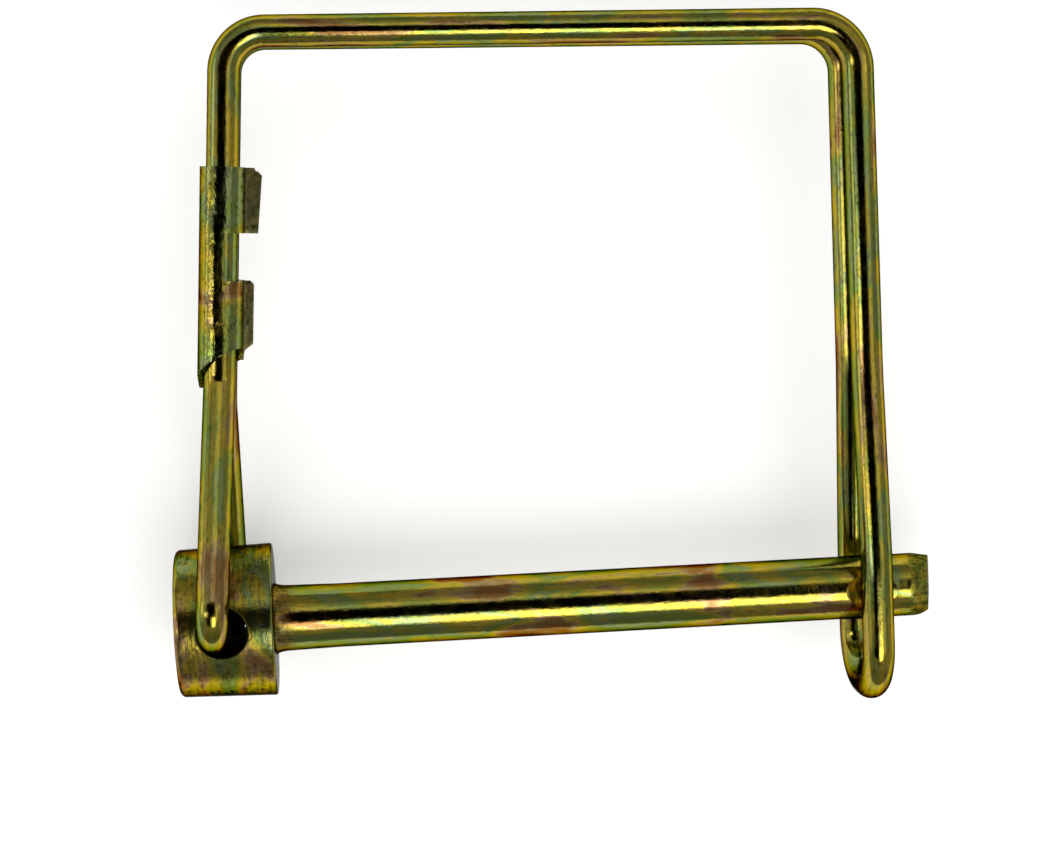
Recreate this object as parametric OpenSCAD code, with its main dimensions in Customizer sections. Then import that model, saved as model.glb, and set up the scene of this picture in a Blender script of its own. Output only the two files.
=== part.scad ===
// Wire lock pin: a headed pin, a doubled spring-wire bail and the clip that ties its strands.
// X runs along the pin to its tip, Y towards the bail's top bar, Z out of the cross hole's mouth.
// The origin is on the pin's axis, in the middle of the plain grip. Sizes are in mm, and distances
// along the pin are counted from the head's shoulder.

/* [Shank] */

// Diameter of the shank
shank_d = 7.94; // [6:0.01:10]
// Shoulder to tip, along the axis
shank_len = 82.75; // [60:0.1:110]
// Extra radius of the fillet where it meets the shoulder
root_swell = 0.65; // [0:0.05:1]
// Extra radius left at the end of that fillet, where the long taper starts
taper_swell = 0.12; // [0:0.01:0.3]
// Length of the fillet
root_len = 1.8; // [0.5:0.1:3]
// Shoulder to the end of the long taper
taper_len = 8; // [4:0.5:15]

/* [Shank tip and wire seats] */

// Length of the chamfer round the tip, from its furthest point
tip_chamfer_len = 3.1; // [0.2:0.1:5]
// Depth of that chamfer
tip_chamfer = 0.56; // [0.1:0.02:1]
// Lean of the sheared end face, whose front is the shorter side
tip_lean = 15; // [0:1:30]
// Slope of the sheared lower corner
tip_shear_angle = 45; // [10:1:60]
// Depth of that corner, measured inwards from the shank's side
tip_shear = 1.64; // [0:0.02:3]
// Tip to the middle of the two pressed seats for the wire
tip_reach = 8.15; // [5:0.05:20]
// Length of shank that the pressing reshapes
seat_len = 7; // [3:0.1:12]
// Depth of each seat below the shank's surface
seat_depth = 0.45; // [0:0.05:1]
// Metal that the pressing pushes out to the sides, in radius
seat_bulge = 0.1; // [0.05:0.01:0.3]

/* [Head] */

// Diameter at the shoulder
head_d = 18.92; // [14:0.01:24]
// Diameter at the outer end
head_end_d = 18.3; // [14:0.01:24]
// Length of the head
head_len = 12; // [8:0.1:20]
// Rounding of the outer rim
head_end_round = 0.7; // [0.2:0.05:2]
// Rounding of the shoulder's rim
head_rim_round = 0.3; // [0.1:0.05:1]
// Diameter of the cross hole
hole_d = 6.2; // [4:0.05:10]
// Shoulder to the cross hole's axis
hole_at = 6.2; // [4:0.1:12]

/* [Bail wire] */

// Diameter of the spring wire
wire_d = 3.97; // [2:0.01:6]
// Height of the top bar's centre over the pin's axis, above the head
top_left = 72.4; // [50:0.1:100]
// The same above the loop
top_right = 70.5; // [50:0.1:100]
// Right leg's centre beyond the middle of the pressed seats
leg_offset = 0.05; // [-1:0.05:1]
// How much further out the front strand of the right leg stands than the back one
leg_twist = 0.25; // [0:0.05:1]
// Inner end of each wire end, from the pin's axis
end_depth = 0.5; // [0.2:0.1:6]
// Centre of the corner where a strand turns into the hole, from the pin's axis
end_spread = 14.4; // [11:0.1:16]
// Drop of the wire ends below the cross hole's axis
end_drop = 0.15; // [0:0.05:1]
// Front wire end's distance from the cross hole's axis, towards the outer end
end_front = 1; // [0:0.05:1.1]
// Back wire end's distance from the cross hole's axis, towards the shoulder
end_back = 0.15; // [0:0.05:1.1]
// Bend at the wire ends, to the wire's centre
end_bend = 3.2; // [2.5:0.1:6]
// Where the left leg's line meets the top bar, from the shoulder
left_at = -2.42; // [-8:0.01:4]
// Lean of the left leg from the pin's normal, in degrees
lean = 3.77; // [0:0.01:10]
// How far under the clip's oblique end the front strand leaves the clip's line
leave_front = 1.5; // [0:0.1:6]
// How far under it the back strand leaves that line
leave_back = 4.3; // [0:0.1:6]
// Bend at the top left
left_bend = 5; // [3:0.1:12]
// Bend at the top right
right_bend = 5.6; // [3:0.1:12]
// Gentle bends in the strands
soft_bend = 45; // [20:5:100]
// Bends where the strands leave the clip
splay_bend = 5; // [4:0.5:30]

/* [Loop over the shank] */

// Half the spacing of the strands at the top right
right_spread = 3.5; // [2:0.05:6]
// Half the spacing at the first gentle bend of the right leg
knee_spread = 3.95; // [2:0.05:6]
// Height of that bend
knee_at = 28; // [15:1:50]
// Half the spacing beside the shank
loop_spread = 6.3; // [5.9:0.05:8]
// Height where the strands become parallel
loop_top = 4; // [0:0.5:12]
// Depth of the loop's centre line below the pin's axis
loop_drop = 12.2; // [9:0.1:20]
// Bend at each corner of the loop's bottom
loop_bend = 5.8; // [4:0.1:6.2]

/* [Clip] */

// Thickness of the strip
clip_t = 0.7; // [0.4:0.05:1.5]
// Clearance between the strip and the wire
clip_gap = 0.05; // [0.02:0.01:0.3]
// Clearance between the two strands in the clip
strand_gap = 0.12; // [0.05:0.01:0.5]
// Gap between the two layers of each tab
seam_gap = 0.1; // [0.05:0.01:0.3]
// Height of the clip's top edge
clip_top = 56.2; // [40:0.1:70]
// Height of the oblique end at the strands' centre
clip_end = 31.5; // [20:0.1:40]
// Slope of the oblique end across the clip, in degrees
cut_across = 38.5; // [0:0.5:60]
// Slope of the oblique end from the front to the back, in degrees
cut_back = 18; // [0:0.5:60]
// Steeper slope of the second cut, which frees the right of the clip's back half
back_across = 50.6; // [0:0.2:60]
// Slope of that cut from the back to the front, in degrees
back_tilt = 6.4; // [0:0.2:30]
// How far that cut runs under the oblique end at the strands' centre
back_drop = 1.7; // [0:0.1:5]
// Reach of the upper tab from the strands' centre, at its top
upper_reach = 4.72; // [3:0.01:8]
// Reach of the upper tab at its lower corner
upper_low_reach = 4.35; // [3:0.01:8]
// Reach of the lower tab
lower_reach = 3.93; // [3:0.01:8]
// Fall of the upper tab's top edge towards its corner
tab_fall = 0.45; // [0:0.05:2]
// Height of the notch's upper edge
notch_top = 48.2; // [40:0.1:55]
// Height of the notch's lower edge
notch_low = 42.4; // [35:0.1:50]
// Inner side of the notch, from the strands' centre
notch_side = 0.25; // [-1:0.05:2]
// Bevel of the tabs' corners
tab_bevel = 0.45; // [0.1:0.05:1]

/* [Hidden] */

$fn = 64;

shank_r = shank_d / 2;
head_r = head_d / 2;
head_end_r = head_end_d / 2;
wire_r = wire_d / 2;
// how far parts of one piece run into each other before they are joined
weld = 0.5;

// middle of the seats, end of the bar before its face is sheared, right leg, and the plain grip's
// two ends and middle, from the shoulder
seat_at = shank_len - tip_reach;
blank_len = shank_len + shank_r * tan(tip_lean);
leg_at = seat_at + leg_offset;
grip_start = taper_len;
grip_end = seat_at - seat_len / 2;
grip_middle = (grip_start + grip_end) / 2;

// height of the two strands' centres in the clip
strand_z = wire_r + strand_gap / 2;
// point at a height on the line that both strands of the left leg share
function left_line(y) = [left_at - (top_left - y) * tan(lean), y];

// the straight runs are this much thinner in radius and reach this far into the bends, so that
// no two round faces lie on each other
run_step = 0.006;
run_overlap = 0.15;

// one strand from its end in the cross hole to the bottom of the loop; side is 1 in front and -1 behind
function strand(side) = [
    [end_x(side), -end_drop, side * end_depth],
    [end_x(side), -end_drop, side * end_spread],
    concat(left_line(clip_end - (side > 0 ? leave_front : leave_back)), side * strand_z),
    [left_at, top_left, side * strand_z],
    [leg_x(side), top_right, side * right_spread],
    [leg_x(side), knee_at, side * knee_spread],
    [leg_x(side), loop_top, side * loop_spread],
    [leg_x(side), -loop_drop, side * loop_spread],
];
function end_x(side) = -hole_at - (side > 0 ? end_front : -end_back);
function leg_x(side) = leg_at + side * leg_twist / 2;
// bends at the inner corners of that strand
bends = [end_bend, splay_bend, left_bend, right_bend, soft_bend, soft_bend, loop_bend];

// the same list in the opposite order
function reversed(list) = [for (i = [len(list) - 1:-1:0]) list[i]];
// the whole wire: down the front strand and back up the rear one
wire_points = concat(strand(1), reversed(strand(-1)));
wire_bends = concat(bends, reversed(bends));

function unit(v) = v / norm(v);
// straight length that a bend takes off both sides of its corner
function setback(radius, before, after) =
    radius * tan(acos(max(-1, min(1, before * after))) / 2);

color([0.62, 0.58, 0.3]) pin();
color([0.6, 0.55, 0.25]) bail_wire();
color([0.66, 0.62, 0.36]) clip();

// the headed pin in one piece
module pin() {
    color([0.62, 0.58, 0.3])
    translate([-grip_middle, 0, 0])
    difference() {
        rotate([0, 90, 0]) {
            rotate_extrude() head_half();
            rotate_extrude() shank_half();
        }
        cross_hole();
        for (side = [-1, 1]) wire_seat(side);
        sheared_face();
        sheared_corner();
    }
}

// half section of the head, with the radius along X and the pin's axis along Y
module head_half() {
    rim = head_rim_round;
    end = head_end_round;
    polygon([
        [0, 0],
        [head_r - rim, 0],
        [head_r, -rim],
        [head_end_r, -head_len + end],
        [head_end_r - end, -head_len],
        [0, -head_len],
    ]);
    translate([head_r - rim, -rim]) circle(rim);
    translate([head_end_r - end, -head_len + end]) circle(end);
}

// half section of the shank, laid out in the same way
module shank_half() {
    // the fillet at the shoulder, which the die leaves open where it meets the face
    difference() {
        polygon([
            [0, -weld],
            [shank_r + root_swell, -weld],
            [shank_r + root_swell, 0],
            [shank_r + taper_swell, root_len],
            [0, root_len],
        ]);
        root_hollow();
    }
    polygon([
        [0, root_len - weld / 50],
        [shank_r + taper_swell, root_len],
        [shank_r, taper_len],
        [shank_r, grip_end],
        [shank_r - weld, grip_end + 0.001],
        [shank_r - weld, grip_end + seat_len - 0.001],
        [shank_r, grip_end + seat_len],
        [shank_r, blank_len - tip_chamfer_len],
        [shank_r - tip_chamfer, blank_len],
        [0, blank_len],
    ]);
    intersection() {
        translate([shank_r + seat_bulge - bulge_r(), seat_at]) circle(bulge_r());
        translate([shank_r - 2 * weld, grip_end]) square([4 * weld, seat_len]);
    }
}

// radius of the arc that bulges the shank between the seats
function bulge_r() = (seat_len * seat_len / 4 + seat_bulge * seat_bulge) / (2 * seat_bulge);

// round hollow of the fillet at the shoulder
module root_hollow() {
    rise = root_swell - taper_swell;
    chord = norm([rise, root_len]);
    radius = chord;
    middle = [shank_r + taper_swell + rise / 2, root_len / 2];
    away = sqrt(radius * radius - chord * chord / 4);
    translate(middle + away * [root_len, rise] / chord) circle(radius);
}

// the hole across the head, open at both sides
module cross_hole() {
    translate([-hole_at, 0, -head_d]) cylinder(h = 2 * head_d, r = hole_d / 2);
}

// shallow seat pressed into the front or the back of the shank for one strand
module wire_seat(side) {
    radius = (seat_len * seat_len / 4 * 0.8 + seat_depth * seat_depth) / (2 * seat_depth);
    translate([seat_at, 0, side * (shank_r - seat_depth + radius)])
    rotate([90, 0, 0])
    cylinder(h = 2 * shank_d, r = radius, center = true);
}

// everything past the leaning end face, where the bar was sheared off
module sheared_face() {
    translate([shank_len, 0, 0])
    rotate([0, -tip_lean, 0])
    translate([0, -shank_d, -2 * shank_d])
    cube([2 * shank_d, 2 * shank_d, 4 * shank_d]);
}

// the lower corner of that face
module sheared_corner() {
    translate([shank_len, -shank_r + tip_shear, 0])
    rotate([0, 0, tip_shear_angle])
    translate([-shank_d, -shank_d, -shank_d])
    cube([2 * shank_d, shank_d, 2 * shank_d]);
}

// the bail: straight runs joined by round bends
module bail_wire() {
    color([0.6, 0.55, 0.25])
    translate([-grip_middle, 0, 0])
    bent_wire(wire_points, wire_bends, wire_r);
}

// a round wire along corner points, with one bend radius for each inner corner
module bent_wire(points, radii, r) {
    last = len(points) - 1;
    ways = [for (i = [0:last - 1]) unit(points[i + 1] - points[i])];
    backs = [
        for (i = [0:last])
        i == 0 || i == last ? 0 : setback(radii[i - 1], ways[i - 1], ways[i])
    ];
    // where each run starts and stops, as distances from its corners
    starts = [for (i = [0:last - 1]) backs[i] - (i == 0 ? 0 : run_overlap)];
    stops = [for (i = [0:last - 1]) backs[i + 1] - (i == last - 1 ? 0 : run_overlap)];
    union() {
        for (i = [0:last - 1])
        straight(points[i] + starts[i] * ways[i], points[i + 1] - stops[i] * ways[i], r - run_step);
        for (i = [1:last - 1])
        bend(points[i], ways[i - 1], ways[i], backs[i], radii[i - 1], r);
    }
}

// one straight run between two points
module straight(from, to, r) {
    run = to - from;
    translate(from)
    along(unit(run))
    cylinder(h = norm(run), r = r);
}

// turns the Z axis onto a direction
module along(way) {
    rotate([0, acos(way[2]), atan2(way[1], way[0])]) children();
}

// one round bend at a corner, from the way in to the way out
module bend(corner, before, after, back, radius, r) {
    axis = unit(cross(before, after));
    // from the bend's centre to its start
    out = unit(cross(before, axis));
    start = corner - back * before;
    translate(start - radius * out)
    rotate(frame_angles(out, cross(axis, out), axis))
    rotate_extrude(angle = acos(before * after))
    translate([radius, 0]) circle(r);
}

// the turns about X, Y and Z that carry the axes onto u, v and w
function frame_angles(u, v, w) =
    norm([u[0], u[1]]) < 0.000001
        ? [atan2(-sign(u[2]) * v[0], v[1]), -90 * sign(u[2]), 0]
        : [atan2(v[2], w[2]), atan2(-u[2], norm([u[0], u[1]])), atan2(u[1], u[0])];

// the folded clip round both strands
module clip() {
    color([0.66, 0.62, 0.36])
    translate(concat(left_line(clip_end), 0) - [grip_middle, 0, 0])
    rotate([0, 0, -lean])
    translate([0, -clip_end, 0])
    difference() {
        intersection() {
            translate([0, clip_top, 0])
            rotate([90, 0, 0])
            linear_extrude(height = clip_top)
            clip_section();
            linear_extrude(height = 4 * wire_d, center = true)
            clip_outline();
        }
        oblique_end();
    }
}

// the strip's section round the strands, with its two edges brought together as a tab
module clip_section() {
    inner = wire_r + clip_gap;
    outer = inner + clip_t;
    difference() {
        union() {
            stadium(outer);
            translate([inner, -clip_t - seam_gap / 2])
            square([upper_reach, 2 * clip_t + seam_gap]);
        }
        stadium(inner);
        translate([0, -seam_gap / 2]) square([2 * upper_reach, seam_gap]);
    }
}

// a slot shape round both strands
module stadium(r) {
    for (side = [-1, 1]) translate([0, side * strand_z]) circle(r);
    translate([-r, -strand_z]) square([2 * r, 2 * strand_z]);
}

// the clip's outline from the front: the upper tab, the notch and the lower tab
module clip_outline() {
    wall = wire_r + clip_gap + clip_t;
    polygon([
        [-2 * wall, 0],
        [-2 * wall, 2 * clip_top],
        [wall, 2 * clip_top],
        [wall, clip_top],
        [upper_reach - tab_bevel, clip_top - tab_fall],
        [upper_reach, clip_top - tab_fall - tab_bevel],
        [upper_low_reach, notch_top],
        [notch_side, notch_top],
        [notch_side, notch_low],
        [lower_reach - tab_bevel, notch_low],
        [lower_reach, notch_low - tab_bevel],
        [lower_reach, 0],
    ]);
}

// everything below the oblique lower end and below the second cut at the back
module oblique_end() {
    translate([0, clip_end, 0])
    rotate([-cut_back, 0, cut_across])
    below();
    translate([0, clip_end - back_drop, 0])
    rotate([back_tilt, 0, back_across])
    below();
}

// a block under the plane of X and Z
module below() {
    translate([-clip_top, -2 * clip_top, -clip_top])
    cube(2 * clip_top);
}
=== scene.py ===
"""Wire lock pin: a turned pin, a doubled spring-wire bail and a folded clip, on a pale studio floor."""

import math

import bmesh
import bpy
import numpy as np
from bpy.props import FloatProperty, FloatVectorProperty, IntProperty, PointerProperty
from bpy.types import Operator, Panel, PropertyGroup
from mathutils import Matrix, Vector


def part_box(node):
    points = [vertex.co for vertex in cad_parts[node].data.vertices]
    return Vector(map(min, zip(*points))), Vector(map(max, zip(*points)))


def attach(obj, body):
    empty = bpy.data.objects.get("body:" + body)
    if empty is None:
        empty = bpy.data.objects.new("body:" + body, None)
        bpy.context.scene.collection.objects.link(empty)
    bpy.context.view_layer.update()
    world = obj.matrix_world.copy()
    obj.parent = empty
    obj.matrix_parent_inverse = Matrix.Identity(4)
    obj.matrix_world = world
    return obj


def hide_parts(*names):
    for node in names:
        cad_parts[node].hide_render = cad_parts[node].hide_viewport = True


bl_info = {
    "name": "Wire Lock Pin",
    "version": (1, 0, 0),
    "blender": (4, 5, 0),
    "location": "View3D > Sidebar > Lock Pin",
    "description": "Models a plated wire lock pin and the studio it lies in",
    "category": "Add Mesh",
}

MM = 0.001
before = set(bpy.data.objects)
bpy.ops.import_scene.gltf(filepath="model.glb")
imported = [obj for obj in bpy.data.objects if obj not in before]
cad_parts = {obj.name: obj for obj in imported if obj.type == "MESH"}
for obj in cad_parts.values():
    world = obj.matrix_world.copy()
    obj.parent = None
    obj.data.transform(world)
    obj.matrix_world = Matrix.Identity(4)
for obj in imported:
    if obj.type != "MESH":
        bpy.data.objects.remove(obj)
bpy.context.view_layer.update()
PIN_LOW, PIN_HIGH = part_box("pin")
WIRE_LOW, WIRE_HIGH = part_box("bail_wire")
HEAD_LENGTH = 12 * MM
SHOULDER = PIN_LOW.x + HEAD_LENGTH


def length(name, description, millimetres, low=0.0):
    """A size in metres whose default is given in millimetres."""
    return FloatProperty(
        name=name, description=description, default=millimetres * MM, min=low, unit="LENGTH", precision=5
    )


def colour(name, description, value):
    """A linear colour."""
    return FloatVectorProperty(
        name=name, description=description, default=value, min=0, max=1, size=3, subtype="COLOR"
    )


class PinSizes(PropertyGroup):
    shank_diameter: length("Shank diameter", "Diameter of the plain shank", 7.94)
    shank_length: length("Shank length", "Shoulder to tip, along the axis", 82.75)
    head_diameter: length("Head diameter", "Diameter at the shoulder", (PIN_HIGH.y - PIN_LOW.y) / MM)
    head_end_diameter: length("Head end diameter", "Diameter at the outer end", 18.3)
    hole_diameter: length("Cross hole diameter", "Diameter of the hole for the wire ends", 6.2)
    hole_place: length("Cross hole place", "Shoulder to the hole's axis", 6.2)
    seat_reach: length("Seat reach", "Tip to the middle of the pressed seats", 8.15)
    seat_length: length("Seat length", "Length that the pressing reshapes", 7)
    seat_depth: length("Seat depth", "Depth of each pressed seat", 0.45)
    shear_depth: length("Shear depth", "Depth of the sheared lower corner of the tip", 1.64)
    shear_angle: FloatProperty(
        name="Shear angle", description="Slope of the sheared corner", default=math.radians(45), subtype="ANGLE"
    )
    lean: FloatProperty(
        name="Tip lean", description="Lean of the sheared end face", default=math.radians(15), subtype="ANGLE"
    )
    sides: IntProperty(name="Sides", description="Faces round the pin", default=160, min=24)


class WireSizes(PropertyGroup):
    diameter: length("Wire diameter", "Diameter of the spring wire", 3.97)
    top_left: length("Top left", "Height of the top bar above the head", 72.4)
    top_right: length("Top right", "Height of the top bar above the loop", 70.5)
    end_depth: length("End depth", "Inner end of each wire end, from the pin's axis", 0.5)
    end_spread: length("End spread", "Corner where a strand turns into the hole", 14.4)
    loop_spread: length("Loop spread", "Half the spacing of the strands beside the shank", 6.3)
    loop_drop: length("Loop drop", "Depth of the loop below the pin's axis", 12.2)
    sides: IntProperty(name="Sides", description="Faces round the wire", default=40, min=12)


class ClipSizes(PropertyGroup):
    thickness: length("Strip thickness", "Thickness of the strip", 0.7)
    top: length("Top", "Height of the clip's top edge", 56.2)
    end: length("Oblique end", "Height of the oblique end at the strands", 31.5)
    upper_reach: length("Upper tab", "Reach of the upper tab", 4.72)
    lower_reach: length("Lower tab", "Reach of the lower tab", 3.93)
    notch_top: length("Notch top", "Height of the notch's upper edge", 48.2)
    notch_low: length("Notch foot", "Height of the notch's lower edge", 42.4)
    edge: length("Edge rounding", "Rounding of the strip's cut edges", 0.2)


class PlatingColours(PropertyGroup):
    gold: colour("Gold", "Yellow of the plating", (0.47, 0.335, 0.032))
    olive: colour("Olive", "Commonest tone of the plating", (0.32, 0.285, 0.038))
    green: colour("Green", "Green tone of the plating", (0.19, 0.26, 0.045))
    slate: colour("Slate", "Blue-grey tone of the plating", (0.22, 0.26, 0.11))
    russet: colour("Russet", "Red-brown tone of the plating", (0.28, 0.13, 0.035))
    blush: colour("Blush", "Pinkish tone of the plating", (0.36, 0.24, 0.1))
    # This colour also serves as painted shade: it darkens the cross hole's wall and the wire's ends inside the hole.
    grime_and_hole_shade: colour("Grime", "Dirt in the marks of the plating", (0.03, 0.026, 0.012))
    # Worn strip is painted shade: a darker tone standing in for the dull shading of the tabs' flat faces.
    worn: colour("Worn strip", "Dull tone of the clip's tabs", (0.15, 0.12, 0.075))
    edge_tint: colour("Edge tint", "Tint of the plating seen edge on", (0.05, 0.03, 0.02))


class StageSettings(PropertyGroup):
    lens: FloatProperty(name="Lens", description="Focal length of the camera", default=81.33, unit="CAMERA")
    floor_colour: colour("Floor", "Colour of the floor", (0.93, 0.93, 0.93))
    world_light: FloatProperty(name="World light", description="Strength of the room's light", default=0.95)


def deselect():
    """Leaves edit mode with nothing selected."""
    if bpy.context.mode != "OBJECT":
        bpy.ops.object.mode_set(mode="OBJECT")
    bpy.ops.object.select_all(action="DESELECT")


def take(obj):
    """Makes obj the only selected and the active object."""
    deselect()
    obj.select_set(True)
    bpy.context.view_layer.objects.active = obj
    return obj


def edit(obj, kind="VERT"):
    """Opens obj in edit mode with nothing selected."""
    take(obj)
    bpy.ops.object.mode_set(mode="EDIT")
    bpy.ops.mesh.select_mode(type=kind)
    bpy.ops.mesh.select_all(action="DESELECT")


def pick(obj, test, kind="VERT"):
    """Selects the vertices, edges or faces of obj, in edit mode, whose element passes the test."""
    bpy.ops.mesh.select_mode(type=kind)
    mesh = bmesh.from_edit_mesh(obj.data)
    for part in {"VERT": mesh.verts, "EDGE": mesh.edges, "FACE": mesh.faces}[kind]:
        part.select_set(bool(test(part)))
    mesh.select_flush_mode()
    bmesh.update_edit_mesh(obj.data)


def named(name):
    """Names the object just added and puts its place into its mesh."""
    obj = bpy.context.active_object
    obj.name = obj.data.name = name
    bpy.ops.object.transform_apply(location=True, rotation=True, scale=True)
    return obj


def cut(obj, tool):
    """Takes the tool's shape out of obj."""
    change = obj.modifiers.new("cut", "BOOLEAN")
    change.operation = "DIFFERENCE"
    change.solver = "EXACT"
    change.object = tool
    take(obj)
    bpy.ops.object.modifier_apply(modifier=change.name)
    bpy.data.objects.remove(tool)


def smooth(obj, degrees):
    """Merges what lies on itself, turns all faces outwards and shades them smooth up to an angle."""
    edit(obj)
    bpy.ops.mesh.select_all(action="SELECT")
    bpy.ops.mesh.remove_doubles(threshold=0.000002)
    bpy.ops.mesh.normals_make_consistent(inside=False)
    take(obj)
    bpy.ops.object.shade_smooth_by_angle(angle=math.radians(degrees))


# the pin


def pin_rings(size):
    """Places along the shank, from the shoulder, and radii there, from the tip to the head's end."""
    shank, tip = size.shank_diameter / 2, size.shank_length
    head, end = size.head_diameter / 2, size.head_end_diameter / 2
    seat = tip - size.seat_reach
    half, bulge = size.seat_length / 2, 0.1 * MM
    blank = tip + shank * math.tan(size.lean)
    rings = [(blank, shank - 0.56 * MM), (blank - 2.8 * MM, shank - 0.055 * MM), (blank - 3.1 * MM, shank - 0.01 * MM)]
    rings += [(blank - 3.4 * MM, shank), (seat + half + 0.3 * MM, shank)]
    for i in range(29):
        turn = 1 - i / 14
        rings.append((seat + half * turn, shank + bulge * (1 - turn * turn)))
    for i in range(1, 17):
        rings.append((seat - half + i / 16 * (8 * MM - seat + half), shank))
    rings += [(5 * MM, shank + 0.058 * MM), (3 * MM, shank + 0.097 * MM)]
    for i in range(11):
        turn = math.radians(9 * i)
        rings.append((1.8 * MM * (1 - math.sin(turn)), shank + 0.12 * MM + 0.53 * MM * (1 - math.cos(turn))))
    for share in (0.2, 0.5, 0.8):
        rings.append((0, shank + 0.65 * MM + share * (head - shank - 0.95 * MM)))
    for i in range(7):
        turn = math.radians(15 * i)
        rings.append((-0.3 * MM * (1 - math.cos(turn)), head - 0.3 * MM * (1 - math.sin(turn))))
    for i in range(1, 29):
        rings.append((-0.3 * MM - i / 28 * (HEAD_LENGTH - 1 * MM), head + i / 28 * (end - head)))
    for i in range(1, 8):
        turn = math.radians(90 * i / 7)
        rings.append((-HEAD_LENGTH + 0.7 * MM * (1 - math.sin(turn)), end - 0.7 * MM * (1 - math.cos(turn))))
    return [(SHOULDER + x, r) for x, r in rings]


def turned(name, rings, sides):
    """A round piece along X, drawn out ring by ring from a disc at its tip."""
    deselect()
    x, r = rings[0]
    bpy.ops.mesh.primitive_circle_add(
        vertices=sides, radius=r, fill_type="NGON", location=(x, 0, 0), rotation=(0, math.pi / 2, 0)
    )
    obj = named(name)
    bpy.ops.object.mode_set(mode="EDIT")
    bpy.ops.mesh.select_mode(type="FACE")
    bpy.ops.mesh.select_all(action="SELECT")
    for (x0, r0), (x1, r1) in zip(rings, rings[1:]):
        bpy.ops.mesh.extrude_region_move(TRANSFORM_OT_translate={"value": (x1 - x0, 0, 0)})
        bpy.ops.transform.resize(value=(1, r1 / r0, r1 / r0), center_override=(x1, 0, 0))
    for share in (0.15, 0.45):
        bpy.ops.mesh.inset(thickness=share * rings[-1][1])
    take(obj)
    return obj


def press_seats(obj, size):
    """Presses the two shallow seats for the loop's strands into the front and the back."""
    shank, depth = size.shank_diameter / 2, size.seat_depth
    radius = (size.seat_length**2 / 5 + depth**2) / (2 * depth)
    for side in (1, -1):
        deselect()
        bpy.ops.mesh.primitive_cylinder_add(
            vertices=720,
            radius=radius,
            depth=2.5 * size.shank_diameter,
            location=(SHOULDER + size.shank_length - size.seat_reach, 0, side * (shank - depth + radius)),
            rotation=(math.pi / 2, 0, 0),
        )
        cut(obj, named("press"))


def shear_tip(obj, size):
    """Cuts the end off along a leaning plane, then its lower corner at a slope, and blunts the edges."""
    tip = SHOULDER + size.shank_length
    corner = (tip, size.shear_depth - size.shank_diameter / 2, 0)
    face = Vector((math.cos(size.lean), 0, math.sin(size.lean)))
    slope = Vector((math.sin(size.shear_angle), -math.cos(size.shear_angle), 0))
    for place, normal in (((tip, 0, 0), face), (corner, slope)):
        edit(obj)
        bpy.ops.mesh.select_all(action="SELECT")
        bpy.ops.mesh.bisect(plane_co=place, plane_no=normal, use_fill=True, clear_outer=True, threshold=0.000001)
        pick(obj, lambda f: (f.calc_center_median() - Vector(place)).dot(normal) > -0.00001 * MM, "FACE")
        bpy.ops.mesh.region_to_loop()
        bpy.ops.mesh.bevel(offset=0.13 * MM, segments=3, affect="EDGES", clamp_overlap=True)
        take(obj)


def drill(obj, size):
    """Drills the cross hole and rounds its two mouths."""
    x, r = SHOULDER - size.hole_place, size.hole_diameter / 2
    deselect()
    bpy.ops.mesh.primitive_cylinder_add(vertices=128, radius=r, depth=2 * size.head_diameter, location=(x, 0, 0))
    cut(obj, named("drill"))
    skin = size.head_end_diameter / 2 - 0.05 * MM

    def on_mouth(place):
        wall = abs(math.hypot(place.x - x, place.y) - r) < 0.004 * MM
        return wall and math.hypot(place.y, place.z) > skin

    edit(obj)
    pick(obj, lambda v: on_mouth(v.co))
    bpy.ops.mesh.remove_doubles(threshold=0.11 * MM)
    pick(obj, lambda e: all(on_mouth(v.co) for v in e.verts) and e.calc_length() < 0.5 * MM, "EDGE")
    bpy.ops.mesh.bevel(offset=0.16 * MM, segments=3, affect="EDGES", clamp_overlap=True)
    take(obj)


class LOCKPIN_OT_pin(Operator):
    """Models the pin with its head, cross hole, pressed seats and sheared tip"""

    bl_idname = "lockpin.pin"
    bl_label = "Headed Pin"

    def execute(self, context):
        size, tones = context.scene.lockpin_pin, context.scene.lockpin_colours
        obj = turned("headed_pin", pin_rings(size), size.sides)
        press_seats(obj, size)
        shear_tip(obj, size)
        drill(obj, size)
        smooth(obj, 32)
        obj.data.materials.append(pin_plating(tones, size))
        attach(obj, "pin_body")
        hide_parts("pin")
        return {"FINISHED"}


# the bail wire

LEFT_AT, LEAN = -2.42 * MM, math.radians(3.77)
STRAND_Z = 2.045 * MM


def left_line(size, y):
    """Point at a height on the line that both strands share beside the clip."""
    return Vector((LEFT_AT - (size.top_left - y) * math.tan(LEAN), y, 0))


def strand(size, clip, pin, side):
    """Corner points of one strand, from its end in the cross hole to the bottom of the loop."""
    hole = -pin.hole_place - (1 * MM if side > 0 else -0.5 * MM)
    leg = pin.shank_length - pin.seat_reach + 0.05 * MM + side * 0.125 * MM
    leave = left_line(size, clip.end - (1.5 * MM if side > 0 else 4.3 * MM))
    return [
        Vector((hole, -0.15 * MM, side * size.end_depth)),
        Vector((hole, -0.15 * MM, side * size.end_spread)),
        Vector((leave.x, leave.y, side * STRAND_Z)),
        Vector((LEFT_AT, size.top_left, side * STRAND_Z)),
        Vector((leg, size.top_right, side * 3.5 * MM)),
        Vector((leg, 28 * MM, side * 3.95 * MM)),
        Vector((leg, 4 * MM, side * size.loop_spread)),
        Vector((leg, -size.loop_drop, side * size.loop_spread)),
    ]


BENDS = [3.2 * MM, 5 * MM, 5 * MM, 5.6 * MM, 45 * MM, 45 * MM, 5.8 * MM]


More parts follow.
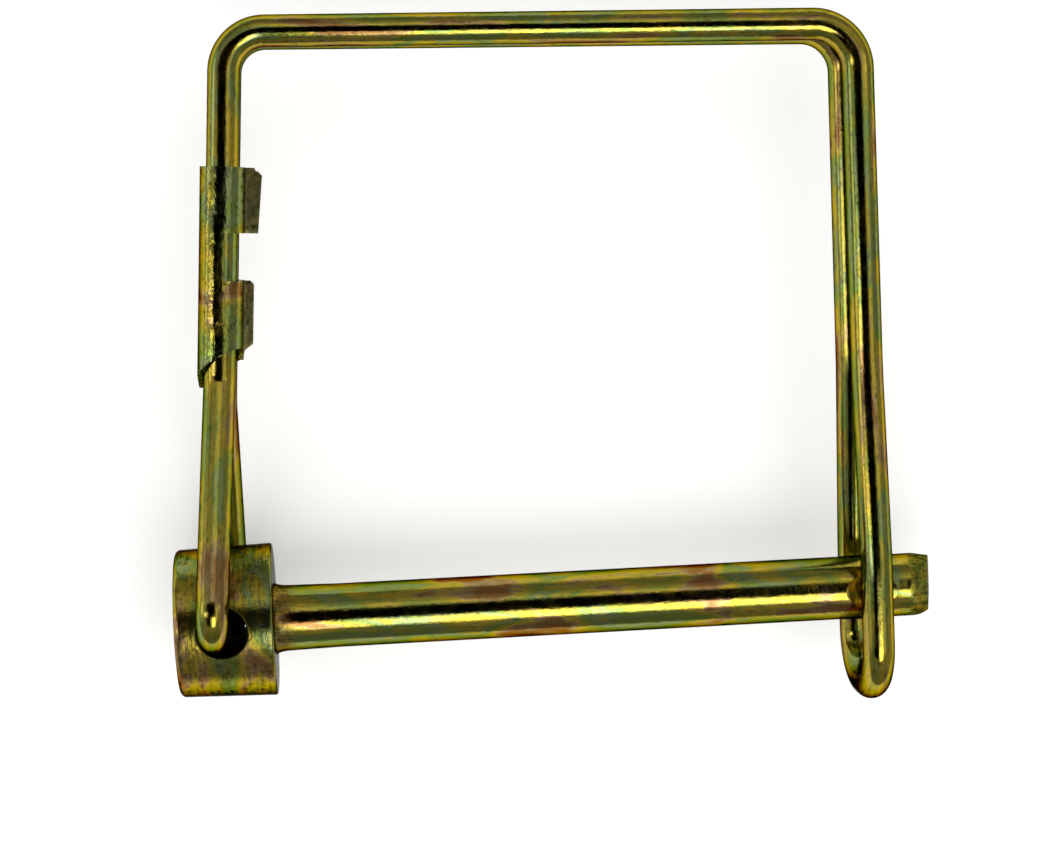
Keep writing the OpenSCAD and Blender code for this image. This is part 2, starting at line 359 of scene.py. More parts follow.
def wire_route(size, clip, pin):
    """The wire's corner points, the bend at each inner one, and the straight runs and bends between them."""
    points = strand(size, clip, pin, 1) + strand(size, clip, pin, -1)[::-1]
    points = [p + Vector((SHOULDER, 0, 0)) for p in points]
    radii = BENDS + BENDS[::-1]
    ways = [(b - a).normalized() for a, b in zip(points, points[1:])]
    turns = [a.angle(b) for a, b in zip(ways, ways[1:])]
    backs = [0] + [r * math.tan(t / 2) for r, t in zip(radii, turns)] + [0]
    parts = []
    for i, way in enumerate(ways):
        start, stop = points[i] + backs[i] * way, points[i + 1] - backs[i + 1] * way
        parts.append(("run", start, stop))
        if i < len(turns):
            axis = way.cross(ways[i + 1]).normalized()
            middle = stop + radii[i] * axis.cross(way)
            parts.append(("bend", middle, axis, turns[i], radii[i]))
    return parts


def drawn_wire(name, route, radius, sides):
    """A wire drawn along its route: a ring extruded along the runs and spun round the bends."""
    deselect()
    start, stop = route[0][1:]
    bpy.ops.mesh.primitive_circle_add(
        vertices=sides, radius=radius, location=start, rotation=(stop - start).to_track_quat("Z", "Y").to_euler()
    )
    obj = named(name)
    bpy.ops.object.mode_set(mode="EDIT")
    bpy.ops.mesh.select_mode(type="EDGE")
    bpy.ops.mesh.select_all(action="SELECT")
    for part in route:
        if part[0] == "run":
            step = part[2] - part[1]
            count = max(1, round(step.length / (2.5 * MM)))
            for _ in range(count):
                bpy.ops.mesh.extrude_region_move(TRANSFORM_OT_translate={"value": step / count})
        else:
            middle, axis, turn, bend = part[1:]
            count = max(3, math.ceil(turn * (bend + radius) / (0.42 * MM)))
            bpy.ops.mesh.spin(steps=count, angle=-turn, center=middle, axis=axis, dupli=False)
    bpy.ops.mesh.select_all(action="SELECT")
    bpy.ops.mesh.remove_doubles(threshold=0.000002)
    bpy.ops.mesh.select_all(action="DESELECT")
    bpy.ops.mesh.select_mode(type="EDGE")
    bpy.ops.mesh.select_non_manifold()
    bpy.ops.mesh.fill_holes(sides=0)
    pick(obj, lambda f: len(f.verts) == sides, "FACE")
    bpy.ops.mesh.inset(thickness=0.3 * MM)
    bpy.ops.mesh.inset(thickness=0.5 * MM)
    take(obj)
    return obj


def centre_line(route, step=0.1 * MM):
    """Close points along the wire's middle, as an array."""
    line = []
    for part in route:
        if part[0] == "run":
            count = max(1, round((part[2] - part[1]).length / step))
            line += [part[1].lerp(part[2], i / count) for i in range(count)]
        else:
            middle, axis, turn, bend = part[1:]
            count = max(2, round(turn * bend / step))
            arm = line_end - middle
            line += [middle + Matrix.Rotation(turn * i / count, 3, axis) @ arm for i in range(count)]
        line_end = part[2] if part[0] == "run" else middle + Matrix.Rotation(turn, 3, axis) @ arm
    return np.array([list(p) for p in line] + [list(line_end)])


def straighten(obj, line):
    """Keeps for each vertex where it would lie if the wire were straight, so that a pattern follows the wire.

    Returns the wire's length.
    """
    steps = np.linalg.norm(np.diff(line, axis=0), axis=1)
    along = np.concatenate([[0], np.cumsum(steps)])
    ways = np.gradient(line, axis=0)
    ways /= np.linalg.norm(ways, axis=1)[:, None]
    side = np.zeros_like(ways)
    side[0] = np.cross(ways[0], [0, 1, 0] if abs(ways[0][1]) < 0.9 else [1, 0, 0])
    side[0] /= np.linalg.norm(side[0])
    for i in range(1, len(ways)):
        arm = side[i - 1] - ways[i] * np.dot(ways[i], side[i - 1])
        side[i] = arm / np.linalg.norm(arm)
    other = np.cross(ways, side)
    places = np.array([v.co for v in obj.data.vertices], float)
    near = np.concatenate(
        [((chunk[:, None] - line[None]) ** 2).sum(2).argmin(1) for chunk in np.array_split(places, 60)]
    )
    off = places - line[near]
    flat = np.stack(
        [
            along[near] + (off * ways[near]).sum(1),
            (off * side[near]).sum(1),
            (off * other[near]).sum(1),
        ],
        axis=1,
    )
    kept = obj.data.attributes.new("straightened", "FLOAT_VECTOR", "POINT")
    kept.data.foreach_set("vector", flat.astype(np.float32).ravel())
    return float(along[-1])


class LOCKPIN_OT_bail_wire(Operator):
    """Models the doubled bail as one bent wire"""

    bl_idname = "lockpin.bail_wire"
    bl_label = "Bail Wire"

    def execute(self, context):
        scene = context.scene
        size = scene.lockpin_wire
        route = wire_route(size, scene.lockpin_clip, scene.lockpin_pin)
        obj = drawn_wire("bent_bail_wire", route, size.diameter / 2, size.sides)
        smooth(obj, 35)
        total = straighten(obj, centre_line(route))
        obj.data.materials.append(wire_plating(scene.lockpin_colours, total))
        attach(obj, "bail_body")
        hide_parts("bail_wire")
        return {"FINISHED"}


# the clip


def fold_section(obj, size, inner):
    """Draws the strip's section in edit mode from one point: tab, round the front strand, behind, and back."""

    def line(x, z):
        bpy.ops.mesh.extrude_region_move(TRANSFORM_OT_translate={"value": (x, 0, z)})

    def turn(x, z, degrees, steps):
        bpy.ops.mesh.spin(steps=steps, angle=-math.radians(degrees), center=(x, 0, z), axis=(0, 1, 0), dupli=False)

    seam, fold = 0.05 * MM, 0.85 * MM
    rise = STRAND_Z - seam - fold
    flat = size.upper_reach - inner - fold
    for _ in range(4):
        line(-flat / 4, 0)
    turn(inner + fold, seam + fold, 90, 8)
    line(0, rise)
    turn(0, STRAND_Z, -180, 30)
    for _ in range(3):
        line(0, -2 * STRAND_Z / 3)
    turn(0, -STRAND_Z, -180, 30)
    line(0, rise)
    turn(inner + fold, -seam - fold, 90, 8)
    for _ in range(4):
        line(flat / 4, 0)


def trim(obj, place, normal, test=None):
    """Cuts the open strip along a plane, then takes off what lies past it and passes the test."""
    edit(obj, "FACE")
    bpy.ops.mesh.select_all(action="SELECT")
    bpy.ops.mesh.bisect(plane_co=place, plane_no=normal, threshold=0.0000005)
    place, normal = Vector(place), Vector(normal).normalized()

    def past(face):
        middle = face.calc_center_median()
        return (middle - place).dot(normal) > 0 and (test is None or test(middle))

    pick(obj, past, "FACE")
    bpy.ops.mesh.delete(type="FACE")
    take(obj)


def split(obj, place, normal):
    """Adds a cut line across the strip."""
    edit(obj, "FACE")
    bpy.ops.mesh.select_all(action="SELECT")
    bpy.ops.mesh.bisect(plane_co=place, plane_no=normal, threshold=0.0000005)
    take(obj)


def dent(obj, size):
    """Raises the shallow ridge that the crimping left along the front of the strip."""
    edit(obj)

    def on_ridge(place):
        return -1.2 * MM < place.x < -0.6 * MM and place.z > STRAND_Z and 37 * MM < place.y < size.top - 6.5 * MM

    pick(obj, lambda v: on_ridge(v.co))
    bpy.ops.transform.translate(
        value=(-0.06 * MM, 0, 0.15 * MM),
        use_proportional_edit=True,
        use_proportional_connected=True,
        proportional_edit_falloff="SMOOTH",
        proportional_size=1.1 * MM,
    )
    take(obj)


def cut_outline(obj, size):
    """Cuts the oblique end, the notch and the two tabs out of the folded strip."""
    side, wall = 0.25 * MM, 2.735 * MM
    slope = Matrix.Rotation(math.radians(-18), 3, "X")
    slope = Matrix.Rotation(math.radians(38.5), 3, "Z") @ slope
    trim(obj, (0, size.end, 0), slope @ Vector((0, -1, 0)))
    slope = Matrix.Rotation(math.radians(50.6), 3, "Z") @ Matrix.Rotation(math.radians(6.4), 3, "X")
    trim(obj, (0, size.end - 1.7 * MM, 0), slope @ Vector((0, -1, 0)))
    low, high = size.notch_low, size.notch_top
    for place, normal in (((side, 0, 0), (1, 0, 0)), ((0, low, 0), (0, 1, 0)), ((0, high, 0), (0, 1, 0))):
        split(obj, place, normal)
    edit(obj, "FACE")

    def in_notch(face):
        middle = face.calc_center_median()
        return middle.x > side and low < middle.y < high

    pick(obj, in_notch, "FACE")
    bpy.ops.mesh.delete(type="FACE")
    take(obj)
    reach, short, fall, corner = size.upper_reach, size.lower_reach, 0.45 * MM, 0.45 * MM
    trim(obj, (short, 0, 0), (1, 0, 0), lambda p: p.y < low)
    trim(obj, (short, low - corner, 0), (1, 1, 0), lambda p: p.x > wall and p.y < low)
    trim(obj, (wall, size.top, 0), (fall, reach - corner - wall, 0), lambda p: p.x > wall and p.y > high)
    trim(obj, (reach, size.top - fall - corner, 0), (1, 1, 0), lambda p: p.x > wall and p.y > high)
    lean = Vector((size.top - fall - corner - high, reach - 4.35 * MM, 0)).normalized()
    trim(obj, (4.35 * MM, high, 0), (lean.x, -lean.y, 0), lambda p: p.x > wall and p.y > high)


class LOCKPIN_OT_clip(Operator):
    """Models the clip as one strip folded round both strands"""

    bl_idname = "lockpin.clip"
    bl_label = "Folded Clip"

    def execute(self, context):
        scene = context.scene
        size, wire = scene.lockpin_clip, scene.lockpin_wire
        inner = wire.diameter / 2 + 0.05 * MM
        deselect()
        bpy.ops.mesh.primitive_plane_add(size=0.5 * MM)
        obj = named("folded_clip")
        bpy.ops.object.mode_set(mode="EDIT")
        bpy.ops.mesh.select_mode(type="VERT")
        bpy.ops.mesh.select_all(action="SELECT")
        bpy.ops.mesh.merge(type="CENTER")
        bpy.ops.transform.translate(value=(size.upper_reach, 20 * MM, 0.05 * MM))
        fold_section(obj, size, inner)
        bpy.ops.mesh.select_all(action="SELECT")
        bpy.ops.mesh.select_mode(type="EDGE")
        bpy.ops.mesh.select_all(action="SELECT")
        rise = (size.top - 20 * MM) / 40
        for _ in range(40):
            bpy.ops.mesh.extrude_region_move(TRANSFORM_OT_translate={"value": (0, rise, 0)})
        cut_outline(obj, size)
        dent(obj, size)
        edit(obj)
        bpy.ops.mesh.select_all(action="SELECT")
        bpy.ops.mesh.remove_doubles(threshold=0.000002)
        bpy.ops.mesh.normals_make_consistent(inside=False)
        take(obj)
        back = [f for f in obj.data.polygons if abs(f.center.x + inner) < 0.02 * MM]
        if sum(f.normal.x for f in back) > 0:
            edit(obj, "FACE")
            bpy.ops.mesh.select_all(action="SELECT")
            bpy.ops.mesh.flip_normals()
            take(obj)
        wall = obj.modifiers.new("wall", "SOLIDIFY")
        wall.thickness, wall.offset, wall.use_even_offset = size.thickness, 1, True
        rounding = obj.modifiers.new("edges", "BEVEL")
        rounding.width, rounding.segments, rounding.angle_limit = size.edge, 3, math.radians(50)
        for change in ("wall", "edges"):
            bpy.ops.object.modifier_apply(modifier=change)
        anchor = left_line(wire, size.end)
        turn = Matrix.Rotation(-LEAN, 4, "Z")
        obj.matrix_world = (
            Matrix.Translation(anchor + Vector((SHOULDER, 0, 0))) @ turn @ Matrix.Translation((0, -size.end, 0))
        )
        bpy.ops.object.transform_apply(location=True, rotation=True, scale=True)
        take(obj)
        bpy.ops.object.shade_smooth_by_angle(angle=math.radians(35))
        obj.data.materials.append(clip_plating(scene.lockpin_colours))
        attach(obj, "bail_body")
        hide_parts("clip")
        return {"FINISHED"}


# the plating


class Tree:
    """A material's nodes, laid out from left to right as they are added."""

    def __init__(self, name):
        self.material = bpy.data.materials.new(name)
        self.material.use_nodes = True
        self.nodes, self.links = self.material.node_tree.nodes, self.material.node_tree.links
        self.shader = self.nodes["Principled BSDF"]
        self.count = 0

    def add(self, kind, inputs=None, **settings):
        node = self.nodes.new(kind)
        node.location = (-2200 + 190 * (self.count // 3), 500 - 260 * (self.count % 3))
        self.count += 1
        for key, value in settings.items():
            setattr(node, key, value)
        for key, value in (inputs or {}).items():
            self.join(value, node.inputs[key])
        return node

    def join(self, value, socket):
        if isinstance(value, bpy.types.NodeSocket):
            self.links.new(value, socket)
        else:
            socket.default_value = value

    def stretched(self, place, scale, shift=(0, 0, 0)):
        """The place, drawn out along its axes so that a pattern gets its own length in each."""
        return self.add("ShaderNodeMapping", {"Vector": place, "Scale": scale, "Location": shift}).outputs[0]

    def noise(self, place, scale, detail=2, roughness=0.5, distortion=0):
        given = {"Vector": place, "Scale": scale, "Detail": detail, "Roughness": roughness, "Distortion": distortion}
        return self.add("ShaderNodeTexNoise", given).outputs["Fac"]

    def between(self, value, low, high, out_low=0, out_high=1):
        """The value's range from low to high, smoothly turned into another range."""
        given = {"Value": value, "From Min": low, "From Max": high, "To Min": out_low, "To Max": out_high}
        return self.add("ShaderNodeMapRange", given, interpolation_type="SMOOTHSTEP").outputs[0]

    def math(self, operation, first, second=0.0):
        return self.add("ShaderNodeMath", {0: first, 1: second}, operation=operation).outputs[0]

    def ramp(self, value, stops):
        """Colours between places on the ramp."""
        node = self.add("ShaderNodeValToRGB", {"Fac": value})
        bar = node.color_ramp
        while len(bar.elements) < len(stops):
            bar.elements.new(0.5)
        for element, (place, tone) in zip(bar.elements, stops):
            element.position, element.color = place, (*tone, 1)
        return node.outputs[0]

    def blend(self, share, first, second, kind="MIX"):
        """The second colour over the first, by a share."""
        node = self.add("ShaderNodeMix", data_type="RGBA", blend_type=kind)
        for socket, value in ((node.inputs[0], share), (node.inputs[6], first), (node.inputs[7], second)):
            if not isinstance(value, bpy.types.NodeSocket) and socket.type == "RGBA":
                value = (*value, 1)
            self.join(value, socket)
        return node.outputs[2]

    def finish(self, tone, gloss, heights, tint):
        """Joins colour, roughness and the bumps to the shader as plated metal."""
        shader = self.shader
        self.join(tone, shader.inputs["Base Color"])
        self.join(gloss, shader.inputs["Roughness"])
        shader.inputs["Metallic"].default_value = 1
        shader.inputs["Specular Tint"].default_value = (*tint, 1)
        normal = None
        for height, strength, distance in heights:
            given = {"Height": height, "Strength": strength, "Distance": distance}
            if normal is not None:
                given["Normal"] = normal
            normal = self.add("ShaderNodeBump", given).outputs[0]
        self.join(normal, shader.inputs["Normal"])
        return self.material


def bands(tones):
    """The plating's colours in the order in which they follow each other as the film grows."""
    return [
        (0.1, tones.russet),
        (0.2, tones.blush),
        (0.29, tones.gold),
        (0.46, tones.olive),
        (0.6, tones.green),
        (0.72, tones.slate),
        (0.82, tones.olive),
        (0.95, tones.gold),
    ]


def film(tree, place, length_scale, round_scale, shift, streaks, spread):
    """The thickness of the plating's film, as patches drawn out along the piece."""
    wide = tree.noise(
        tree.stretched(place, (length_scale, round_scale, round_scale), shift), 1, 3, 0.55, 0.5
    )
    fine = tree.noise(
        tree.stretched(place, (length_scale * 1.5, round_scale * 5, round_scale * 5), shift), 1, 2, 0.6
    )
    mixed = tree.math("MULTIPLY_ADD", fine, streaks)
    mixed.node.inputs[2].default_value = -streaks / 2
    return tree.between(tree.math("ADD", wide, mixed), 0.5 - spread, 0.5 + spread)


def pin_plating(tones, size):
    """Bright yellow plating: banded along the shank, streaked round the head, dull on the sheared tip, with painted
    shade darkening the wall of the cross hole.
    """
    tree = Tree("yellow_plated_pin")
    place = tree.add("ShaderNodeTexCoord").outputs["Object"]
    apart = tree.add("ShaderNodeSeparateXYZ", {"Vector": place}).outputs
    on_head = tree.between(apart[0], SHOULDER + 0.3 * MM, SHOULDER - 0.3 * MM)
    on_root = tree.math(
        "MULTIPLY",
        tree.between(apart[0], SHOULDER + 3.2 * MM, SHOULDER + 1 * MM),
        tree.between(apart[0], SHOULDER - 0.1 * MM, SHOULDER + 0.1 * MM),
    )
    tip = SHOULDER + size.shank_length
    on_tip = tree.between(apart[0], tip - 3.6 * MM, tip - 2.2 * MM)
    # Painted shade: a mask of the cross hole's wall that darkens it with the grime colour and makes it rougher,
    # standing in for the shade deep in the hole.
    bore = tree.math("POWER", tree.math("SUBTRACT", apart[0], SHOULDER - size.hole_place), 2.0)
    bore = tree.math("SQRT", tree.math("ADD", bore, tree.math("POWER", apart[1], 2.0)))
    radius = size.hole_diameter / 2
    bore_shade = tree.math("MULTIPLY", tree.between(bore, radius + 0.3 * MM, radius + 0.02 * MM), on_head)
    shank_film = film(tree, place, 75, 160, (0.3, 0.1, 0.7), 0.35, 0.26)
    head_film = film(tree, place, 210, 100, (1.3, 2.1, 0.4), 0.15, 0.32)
    amount = tree.add("ShaderNodeMix", {0: on_head, 2: shank_film, 3: head_film}, data_type="FLOAT").outputs[0]
    tone = tree.ramp(amount, bands(tones))
    brushed = tree.noise(tree.stretched(place, (260, 2600, 2600)), 1, 4, 0.6)
    turned_marks = tree.noise(tree.stretched(place, (2400, 260, 260), (0.7, 0.2, 0.5)), 1, 5, 0.7)
    marks = tree.add("ShaderNodeMix", {0: on_head, 2: brushed, 3: turned_marks}, data_type="FLOAT").outputs[0]
    tone = tree.blend(tree.between(marks, 0.45, 0.75, 0, 0.5), tone, tones.slate)
    specks = tree.noise(tree.stretched(place, (1500, 1500, 1500)), 1, 6, 0.75)
    dirty = tree.math("ADD", tree.math("MULTIPLY", on_head, 0.07), tree.math("MULTIPLY", on_root, 0.1))
    dirty = tree.math("ADD", dirty, tree.math("MULTIPLY", on_tip, 0.12))
    dirt = tree.math("ADD", tree.math("MULTIPLY", specks, 0.6), tree.math("MULTIPLY", marks, 0.4))
    dirt = tree.between(tree.math("ADD", dirt, dirty), 0.52, 0.72, 0, 0.85)
    patch = tree.between(tree.noise(place, 520, 4, 0.7), 0.4, 0.6)
    torn = tree.blend(patch, tones.green, tones.gold)
    tone = tree.blend(tree.math("MULTIPLY", on_tip, 0.8), tone, torn)
    tone = tree.blend(tree.math("MULTIPLY", on_root, 0.55), tone, tones.russet)
    tone = tree.blend(dirt, tone, tones.grime_and_hole_shade)
    # painted shade inside the cross hole
    tone = tree.blend(bore_shade, tone, tones.grime_and_hole_shade)
    gloss = tree.between(tree.noise(place, 700, 3, 0.6), 0.3, 0.7, 0.08, 0.16)
    worn = tree.math("MAXIMUM", tree.math("MULTIPLY", on_head, 0.55), tree.math("MAXIMUM", on_root, on_tip))
    gloss = tree.math("ADD", gloss, tree.math("MULTIPLY", worn, 0.16))
    gloss = tree.math("ADD", gloss, tree.math("MULTIPLY", bore_shade, 0.5))
    ripple = tree.noise(tree.stretched(place, (1300, 2200, 2200)), 1, 4, 0.65)
    wrinkles = tree.math("MULTIPLY", tree.noise(tree.stretched(place, (2000, 1400, 1400)), 1, 5, 0.7), on_tip)
    grooves = tree.math("MULTIPLY", turned_marks, tree.math("MAXIMUM", on_head, on_root))
    teeth = tree.noise(tree.stretched(place, (3600, 600, 600), (0.2, 0.9, 0.1)), 1, 3, 0.6)
    heights = [(ripple, 0.8, 0.024 * MM), (teeth, 0.6, 0.016 * MM)]
    heights += [(wrinkles, 1, 0.28 * MM), (grooves, 0.7, 0.06 * MM)]
    return tree.finish(tone, gloss, heights, tones.edge_tint)


def wire_plating(tones, total):
    """Bright yellow plating in long streaks that follow the wire round its bends, with draw marks, and painted shade
    on the ends inside the cross hole.
    """
    tree = Tree("yellow_plated_wire")
    place = tree.add("ShaderNodeAttribute", attribute_name="straightened", attribute_type="GEOMETRY").outputs["Vector"]
    tone = tree.ramp(film(tree, place, 60, 230, (0.2, 0.5, 0.9), 0.3, 0.27), bands(tones))
    drawn = tree.noise(tree.stretched(place, (120, 4200, 4200)), 1, 4, 0.65)
    tone = tree.blend(tree.between(drawn, 0.42, 0.72, 0, 0.55), tone, tones.slate)
    specks = tree.noise(tree.stretched(place, (1100, 1800, 1800)), 1, 6, 0.75)
    dirt = tree.math("ADD", tree.math("MULTIPLY", specks, 0.65), tree.math("MULTIPLY", drawn, 0.35))
    tone = tree.blend(tree.between(dirt, 0.49, 0.7, 0, 0.85), tone, tones.grime_and_hole_shade)
    # Painted shade: the wire's ends inside the cross hole are darkened with the grime colour and made rougher,
    # standing in for the shade in the hole.
    along = tree.add("ShaderNodeSeparateXYZ", {"Vector": place}).outputs[0]
    hole_shade = tree.math("ABSOLUTE", tree.math("SUBTRACT", along, total / 2))
    hole_shade = tree.between(hole_shade, total / 2 - 9.5 * MM, total / 2 - 8 * MM)
    tone = tree.blend(hole_shade, tone, tones.grime_and_hole_shade)
    gloss = tree.between(tree.noise(place, 800, 3, 0.6), 0.3, 0.7, 0.08, 0.17)
    gloss = tree.math("ADD", gloss, tree.math("MULTIPLY", hole_shade, 0.5))
    ripple = tree.noise(tree.stretched(place, (700, 2100, 2100)), 1, 4, 0.65)
    heights = [(ripple, 0.8, 0.026 * MM), (specks, 0.4, 0.012 * MM), (drawn, 0.4, 0.008 * MM)]
    return tree.finish(tone, gloss, heights, tones.edge_tint)


def clip_plating(tones):
    """Bright yellow plating on rolled strip, mottled where the crimping has dented it, with painted shade darkening
    the tabs.
    """
    tree = Tree("yellow_plated_clip")
    place = tree.add("ShaderNodeTexCoord").outputs["Object"]
    tone = tree.ramp(film(tree, place, 150, 80, (0.4, 0.2, 0.6), 0.25, 0.32), bands(tones))
    rolled = tree.noise(tree.stretched(place, (3000, 300, 3000)), 1, 4, 0.65)
    tone = tree.blend(tree.between(rolled, 0.42, 0.72, 0, 0.55), tone, tones.slate)
    apart = tree.add("ShaderNodeSeparateXYZ", {"Vector": place}).outputs
    lean = tree.math("MULTIPLY_ADD", apart[1], -math.tan(LEAN))
    lean.node.inputs[2].default_value = -SHOULDER - LEFT_AT + 72.4 * MM * math.tan(LEAN)
    # Painted shade: the tabs are darkened towards the worn strip colour, for the dull shading of their flat faces.
    # They are also made a little dirtier and rougher.
    on_tab = tree.between(tree.math("ADD", apart[0], lean), 2.3 * MM, 2.8 * MM)
    tone = tree.blend(tree.math("MULTIPLY", on_tab, 0.6), tone, tones.worn)
    specks = tree.noise(tree.stretched(place, (1300, 1300, 1300)), 1, 6, 0.75)
    dirt = tree.math("ADD", specks, tree.math("MULTIPLY", on_tab, 0.03))
    tone = tree.blend(tree.between(dirt, 0.49, 0.7, 0, 0.85), tone, tones.grime_and_hole_shade)
    gloss = tree.between(tree.noise(place, 900, 3, 0.6), 0.3, 0.7, 0.09, 0.2)
    gloss = tree.math("ADD", gloss, tree.math("MULTIPLY", on_tab, 0.25))
    dents = tree.noise(tree.stretched(place, (480, 200, 480)), 1, 4, 0.6)
    heights = [(dents, 0.9, 0.18 * MM), (specks, 0.4, 0.02 * MM), (rolled, 0.3, 0.006 * MM)]
    return tree.finish(tone, gloss, heights, tones.edge_tint)


# the stage


def seen_directly(tree):
    """1 for rays from the camera and for those that metal or glass reflects or passes on, else 0."""
    path = tree.nodes.new("ShaderNodeLightPath")
    seen = path.outputs["Is Camera Ray"]
    for name in ("Is Glossy Ray", "Is Transmission Ray"):
        add = tree.nodes.new("ShaderNodeMath")
        add.operation = "MAXIMUM"
        tree.links.new(seen, add.inputs[0])
        tree.links.new(path.outputs[name], add.inputs[1])
        seen = add.outputs[0]
    return seen


def card(name, corner, across, up, shade, fade=None):
    """A flat studio card that only the object's reflections show, from one corner and two sides.

    With fade, a distance for each side, the card's light fades out towards its edges.
    """
    deselect()
    bpy.ops.mesh.primitive_plane_add(size=1, location=(0.5, 0.5, 0))
    obj = named(name)
    across, up = Vector(across), Vector(up)
    frame_turn = Matrix((across, up, across.cross(up).normalized())).transposed().to_4x4()
    obj.matrix_world = Matrix.Scale(MM, 4) @ Matrix.Translation(corner) @ frame_turn
    bpy.ops.object.transform_apply(location=True, rotation=True, scale=True)
    tree = Tree(name)
    glow = tree.add("ShaderNodeEmission", {"Color": (shade, shade, shade, 1)}).outputs[0]
    if fade:
        place = tree.add("ShaderNodeAttribute", attribute_name="UVMap", attribute_type="GEOMETRY").outputs["Vector"]
        apart = tree.add("ShaderNodeSeparateXYZ", {"Vector": place}).outputs
        shares = []
        for along, side, reach in ((apart[0], across, fade[0]), (apart[1], up, fade[1])):
            reach /= side.length
            shares += [tree.between(along, 0, reach), tree.between(along, 1, 1 - reach)]
        share = tree.math("MULTIPLY", tree.math("MULTIPLY", *shares[:2]), tree.math("MULTIPLY", *shares[2:]))
        clear = tree.add("ShaderNodeBsdfTransparent").outputs[0]
        glow = tree.add("ShaderNodeMixShader", {0: share, 1: clear, 2: glow}).outputs[0]
    tree.links.new(glow, tree.nodes["Material Output"].inputs[0])
    obj.data.materials.append(tree.material)
    obj.visible_camera = False
    obj.visible_diffuse = False
    obj.visible_shadow = False


def softbox(name, place, aim, width, depth, strength):
    """An area lamp whose face has the given brightness."""
    deselect()
    place, aim = Vector(place) * MM, Vector(aim) * MM
    bpy.ops.object.light_add(type="AREA", location=place, rotation=(aim - place).to_track_quat("-Z", "Y").to_euler())
    lamp = bpy.context.active_object
    lamp.name = lamp.data.name = name
    lamp.data.shape = "RECTANGLE"
    lamp.data.size, lamp.data.size_y = width * MM, depth * MM
    lamp.data.energy = strength * math.pi * width * depth * MM * MM
    lamp.visible_glossy = False


class LOCKPIN_OT_stage(Operator):
    """Sets the pale floor, the soft lamps, the studio cards and the camera"""

    bl_idname = "lockpin.stage"
    bl_label = "Studio"

    def execute(self, context):
        stage = context.scene.lockpin_stage
        deselect()
        bpy.ops.mesh.primitive_plane_add(size=6, location=(0, 0, WIRE_LOW.z - 0.02 * MM))
        floor = named("floor")
        tree = Tree("pale_floor")
        tree.shader.inputs["Base Color"].default_value = (*stage.floor_colour, 1)
        tree.shader.inputs["Roughness"].default_value = 0.9
        tree.shader.inputs["Specular IOR Level"].default_value = 0
        tree.shader.inputs["Emission Color"].default_value = (1, 1, 1, 1)
        lift = tree.math("MULTIPLY", seen_directly(tree), 0.12)
        tree.links.new(lift, tree.shader.inputs["Emission Strength"])
        floor.data.materials.append(tree.material)
        world = bpy.data.worlds.new("studio")
        world.use_nodes = True
        context.scene.world = world
        glow = world.node_tree.nodes["Background"]
        glow.inputs["Color"].default_value = (1, 1, 1, 1)
        ease = world.node_tree.nodes.new("ShaderNodeMapRange")
        ease.inputs["To Min"].default_value = stage.world_light
        ease.inputs["To Max"].default_value = 1
        world.node_tree.links.new(seen_directly(world.node_tree), ease.inputs["Value"])
        world.node_tree.links.new(ease.outputs[0], glow.inputs["Strength"])
        softbox("key_softbox", (40, -150, 420), (0, 0, 0), 420, 220, 2.0)
        softbox("left_softbox", (-640, 60, 330), (0, 30, 0), 130, 700, 1.4)
        card("key_card", (-75, -435, 590), (330, 0, 0), (0, 335, 0), 4.6, (45, 32))
        card("back_glow", (-220, 325, 588), (480, 0, 0), (0, 260, 0), 0.95, (90, 60))
        card("right_glow", (190, -330, 586), (440, 0, 0), (0, 560, 0), 0.85, (120, 120))
        card("right_card", (550, 80, 560), (180, 0, 0), (0, 190, 0), 2.6, (50, 60))
        card("left_card", (-890, -80, 160), (0, 460, 0), (0, 0, 210), 2.2, (70, 60))
        card("side_card", (-880, -90, 545), (540, 0, 0), (0, 150, 0), 3.6, (110, 30))
        card("left_glow", (-892, -300, 30), (0, 900, 0), (0, 0, 560), 0.75, (150, 120))
        card("dark_card", (-560, -112, 592), (765, 0, 0), (0, 460, 0), 0.0, (45, 20))
        card("dark_corner", (-560, -420, 594), (500, 0, 0), (0, 440, 0), 0.0, (45, 40))
        card("ceiling_front", (-900, -900, 600), (1800, 0, 0), (0, 900, 0), 0.3)
        card("ceiling_back", (-900, 0, 600), (1800, 0, 0), (0, 900, 0), 0.47)
        card("front_wall", (-900, -900, -14), (1800, 0, 0), (0, 0, 620), 0.23)
        card("back_wall", (-900, 900, -14), (1800, 0, 0), (0, 0, 620), 0.27)
        card("left_wall", (-900, -900, -14), (0, 1800, 0), (0, 0, 620), 0.32)
        card("right_wall", (900, -900, -14), (0, 1800, 0), (0, 0, 620), 0.36)
        place_camera(context.scene, stage)
        view = context.scene.view_settings
        view.view_transform = "Standard"
        return {"FINISHED"}


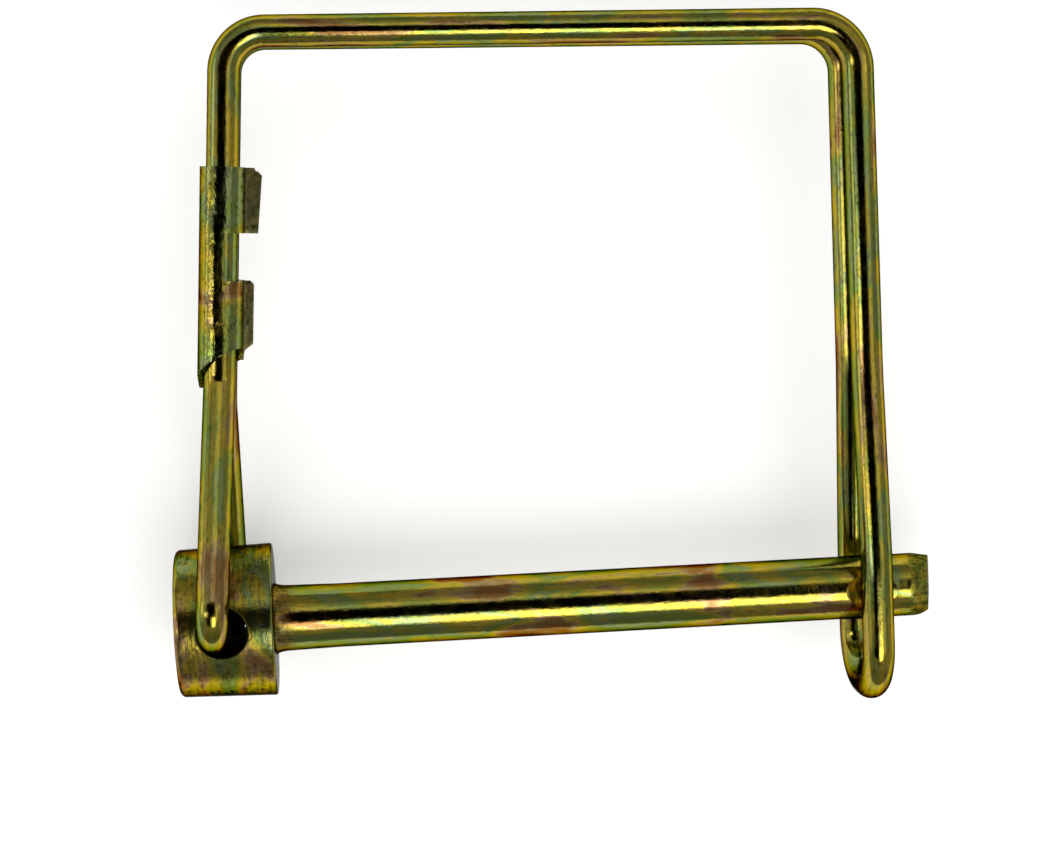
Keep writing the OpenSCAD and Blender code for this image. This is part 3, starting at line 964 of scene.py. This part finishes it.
def place_camera(scene, stage):
    """Sets the camera above the object, where the photograph was taken from."""
    deselect()
    bpy.ops.object.camera_add()
    camera = bpy.context.active_object
    camera.name = "camera"
    yaw, pitch, roll = math.radians(4.215), math.radians(5.260), math.radians(-2.3966)
    ahead = Vector((math.sin(yaw) * math.cos(pitch), -math.sin(pitch), -math.cos(yaw) * math.cos(pitch)))
    right = Vector((math.cos(yaw), 0, math.sin(yaw)))
    up = right.cross(ahead)
    right, up = (
        math.cos(roll) * right + math.sin(roll) * up,
        math.cos(roll) * up - math.sin(roll) * right,
    )
    turn = Matrix((right, up, -ahead)).transposed().to_4x4()
    camera.matrix_world = Matrix.Translation(Vector((10.576, 49.972, 294.331)) * MM + Vector((SHOULDER, 0, 0))) @ turn
    camera.data.lens = stage.lens
    camera.data.sensor_width = 36
    camera.data.clip_start = 0.01
    scene.camera = camera


class LOCKPIN_PT_sidebar(Panel):
    """Lists the pieces and their sizes"""

    bl_label = "Wire Lock Pin"
    bl_idname = "LOCKPIN_PT_sidebar"
    bl_space_type = "VIEW_3D"
    bl_region_type = "UI"
    bl_category = "Lock Pin"

    def draw(self, context):
        layout, scene = self.layout, context.scene
        for operator, sizes in STEPS:
            box = layout.box()
            box.operator(operator.bl_idname)
            group = getattr(scene, sizes)
            for name in group.__annotations__:
                box.prop(group, name)
        box = layout.box()
        for name in scene.lockpin_colours.__annotations__:
            box.prop(scene.lockpin_colours, name)


STEPS = [
    (LOCKPIN_OT_pin, "lockpin_pin"),
    (LOCKPIN_OT_bail_wire, "lockpin_wire"),
    (LOCKPIN_OT_clip, "lockpin_clip"),
    (LOCKPIN_OT_stage, "lockpin_stage"),
]
GROUPS = {
    "lockpin_pin": PinSizes,
    "lockpin_wire": WireSizes,
    "lockpin_clip": ClipSizes,
    "lockpin_colours": PlatingColours,
    "lockpin_stage": StageSettings,
}
CLASSES = [*GROUPS.values(), *(operator for operator, sizes in STEPS), LOCKPIN_PT_sidebar]


def register():
    """Adds the classes and the scene's properties."""
    for each in CLASSES:
        bpy.utils.register_class(each)
    for name, group in GROUPS.items():
        setattr(bpy.types.Scene, name, PointerProperty(type=group))


def unregister():
    """Takes them away again."""
    for name in GROUPS:
        delattr(bpy.types.Scene, name)
    for each in reversed(CLASSES):
        bpy.utils.unregister_class(each)


def main():
    """Builds the whole object and its stage."""
    register()
    bpy.ops.lockpin.pin()
    bpy.ops.lockpin.bail_wire()
    bpy.ops.lockpin.clip()
    bpy.ops.lockpin.stage()
    deselect()


if __name__ == "__main__":
    main()
